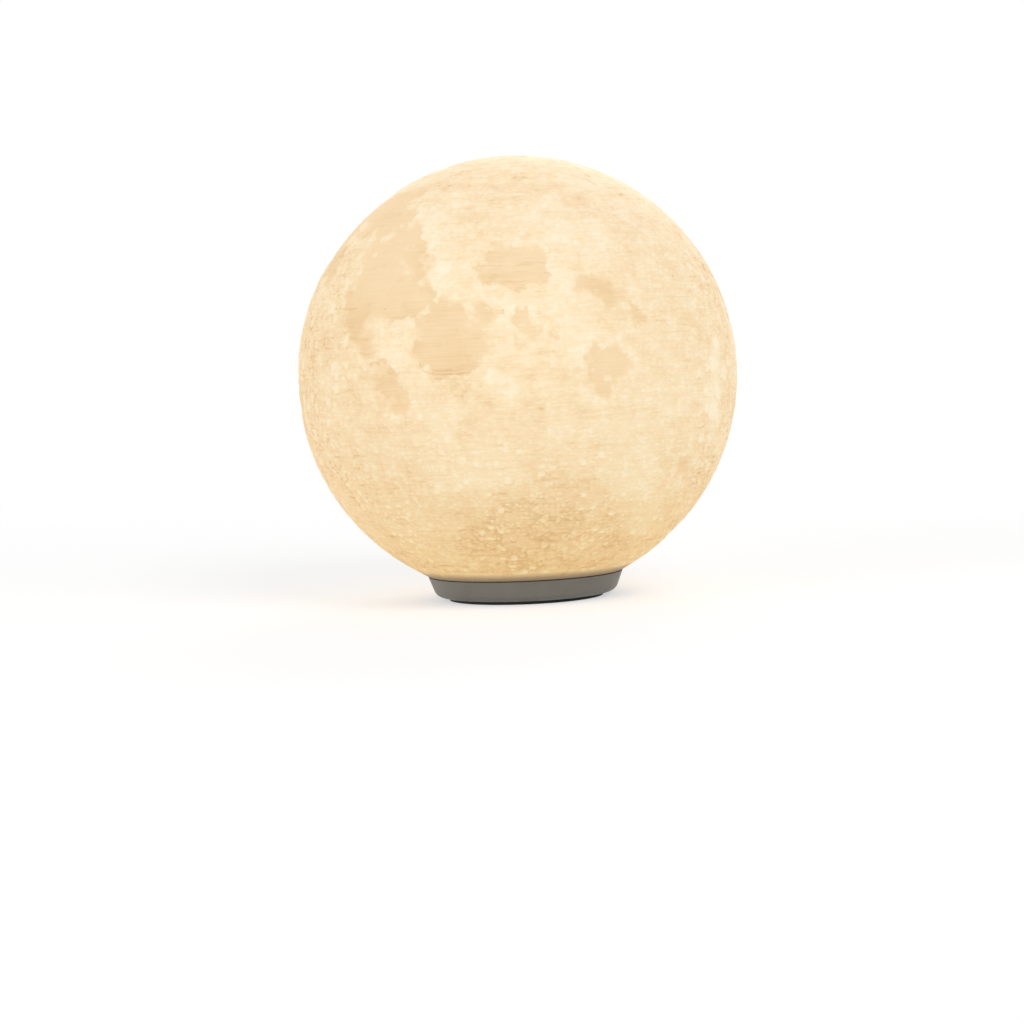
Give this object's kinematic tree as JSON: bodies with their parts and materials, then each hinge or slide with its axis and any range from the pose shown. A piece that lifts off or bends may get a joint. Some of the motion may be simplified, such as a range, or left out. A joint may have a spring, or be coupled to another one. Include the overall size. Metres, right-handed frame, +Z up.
{
  "type": "moon lamp",
  "caption": "Cordless moon lamp: a cratered, warm white globe that twists onto a low grey base holding the lights, cell, touch ring and push button.",
  "frame": {"origin": "centre of the foot ring's rest face, on the surface that the lamp stands on", "axes": "+Z up along the lamp's axis, -Y towards the front, +X to the right seen from the front"},
  "size_m": [0.1499, 0.15, 0.1508],
  "materials": {
    "moon_shell": "printed in fine layers, translucent, lit from inside",
    "lock_white": "plain moulded, satin",
    "base_grey": "fine spark texture",
    "button_grey": "smooth satin",
    "foot_silicone": "matt silicone",
    "touch_chrome": "polished plating",
    "pin_brass": "bright",
    "screw_steel": "zinc plated",
    "socket_steel": "bright nickel",
    "black_plastic": "moulded, fine grain",
    "pipe_clear": "clear, polished ends",
    "board_green": "solder mask over copper",
    "header_cream": "moulded nylon",
    "cell_foil": "embossed laminate foil",
    "pad_foam": "open foam tape",
    "lead_red": "soft insulation",
    "lead_black": "soft insulation",
    "lead_white": "soft insulation",
    "light_board_white": "white solder mask",
    "light_small": "clear resin",
    "light_warm": "phosphor resin",
    "light_cool": "phosphor resin",
    "dome_milky": "milky diffuser"
  },
  "bodies": {
    "base": {"base_housing": "base_grey", "bottom_cover": "base_grey", "cover_screws": "screw_steel", "foot_ring": "foot_silicone", "touch_ring": "touch_chrome", "touch_pin": "pin_brass", "switch_body": "black_plastic", "socket_shell": "socket_steel", "socket_tongue": "black_plastic", "charge_light_pipe": "pipe_clear", "charge_light": "light_small", "control_board": "board_green", "board_chips": "black_plastic", "board_screws": "screw_steel", "board_header": "header_cream", "cell_plug": "header_cream", "cell_lead_red": "lead_red", "cell_lead_black": "lead_black", "cell": "cell_foil", "cell_pad": "pad_foam", "light_leads": "lead_white", "light_board": "light_board_white", "warm_lights": "light_warm", "cool_lights": "light_cool", "light_board_screws": "screw_steel", "diffuser_dome": "dome_milky"},
    "globe": {"moon_globe": "moon_shell", "lock_ring": "lock_white"},
    "button": {"power_button": "button_grey", "switch_plunger": "black_plastic"}
  },
  "joints": [
    {"name": "globe_twist", "type": "hinge", "parent": "base", "child": "globe", "pos_m": [0, 0, 0.0086], "axis": [0, 0, 1], "range_deg": [0, 22]},
    {"name": "button_press", "type": "slide", "parent": "base", "child": "button", "axis": [0, 0, 1], "range_m": [0, 0.0008], "stiffness_N_per_m": 2000, "springref_m": -0.0003}
  ]
}
